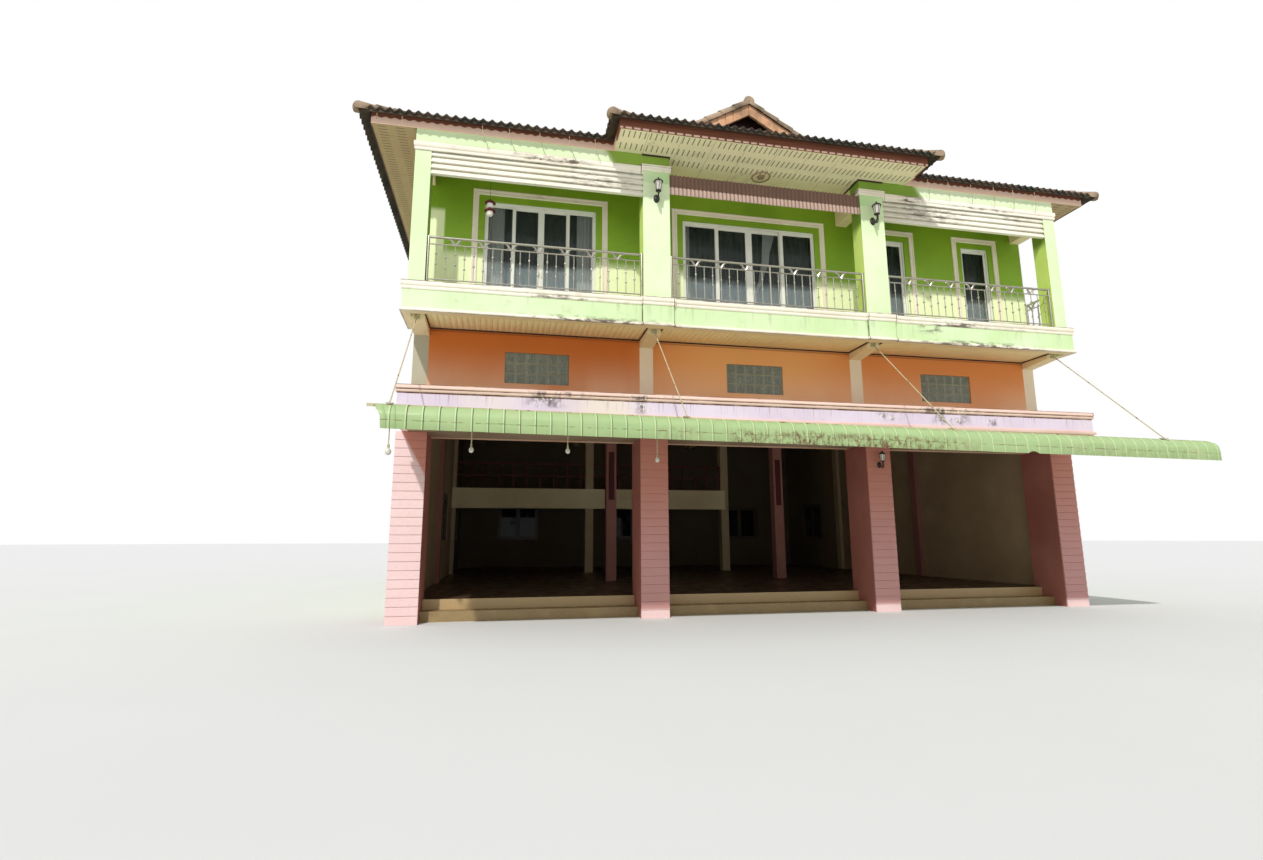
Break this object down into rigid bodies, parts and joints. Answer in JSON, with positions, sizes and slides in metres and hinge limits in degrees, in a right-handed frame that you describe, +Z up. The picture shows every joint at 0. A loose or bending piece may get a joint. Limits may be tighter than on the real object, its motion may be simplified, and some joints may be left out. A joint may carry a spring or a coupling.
{
  "type": "two-storey house",
  "caption": "Two-storey shop house with an open pillared ground floor, a metal awning, a railed balcony and a hipped tile roof with a porch gablet.",
  "frame": {"origin": "centre of the walls' plan at ground level, on the underside of the floor plinth", "axes": "+Z up, -Y towards the street, +X to the right when seen from the street"},
  "size_m": [14.6372, 15.8126, 12.4861],
  "materials": {
    "floor_concrete": "matte",
    "pink_plaster": "satin",
    "grey_plaster": "matte",
    "cream_plaster": "matte",
    "orange_plaster": "matte",
    "glass_block": "gloss",
    "lilac_plaster": "matte",
    "green_sheet": "satin",
    "cream_steel": "satin",
    "pale_green_plaster": "matte",
    "lime_plaster": "matte",
    "white_plaster": "matte",
    "stainless_steel": "satin",
    "white_sheet": "satin",
    "brown_blind": "matte",
    "door_paint": "satin",
    "window_glass": "gloss",
    "soffit_board": "matte",
    "red_brown_timber": "satin",
    "roof_tile": "matte",
    "ridge_tile": "matte",
    "lamp_metal": "satin"
  },
  "bodies": {
    "root": {"floor_plinth": "floor_concrete", "front_step": "floor_concrete", "ground_corner_pillars": "pink_plaster", "ground_middle_pillars": "pink_plaster", "front_columns": "grey_plaster", "inner_columns": "cream_plaster", "front_wall_band": "orange_plaster", "glass_block_windows": "glass_block", "canopy": "lilac_plaster", "awning_sheet": "green_sheet", "awning_frame": "cream_steel", "tie_rods": "cream_steel", "upper_floor": "cream_plaster", "upper_floor_beams": "cream_plaster", "balcony_beams": "white_plaster", "balcony_spandrel": "pale_green_plaster", "balcony_mouldings": "white_plaster", "front_railings": "stainless_steel", "side_railings": "stainless_steel", "upper_pillars": "pale_green_plaster", "pillar_caps": "white_plaster", "upper_beams": "pale_green_plaster", "cross_beams": "cream_plaster", "sunshades": "white_sheet", "centre_blind": "brown_blind", "upper_front_wall": "lime_plaster", "door_surrounds": "white_plaster", "left_balcony_door": "door_paint", "middle_balcony_door": "door_paint", "right_balcony_doors": "door_paint", "balcony_door_glass": "window_glass", "right_wall": "pale_green_plaster", "left_wall": "pale_green_plaster", "back_wall": "pale_green_plaster", "window_frames": "door_paint", "window_glass": "window_glass", "eaves_soffit": "soffit_board", "fascia_boards": "red_brown_timber", "main_roof": "roof_tile", "porch_roof": "roof_tile", "gablet_wall": "soffit_board", "ridge_and_verge_tiles": "ridge_tile", "mezzanine_floor": "cream_plaster", "mezzanine_balustrade": "red_brown_timber", "lamps": "lamp_metal"}
  },
  "joints": []
}
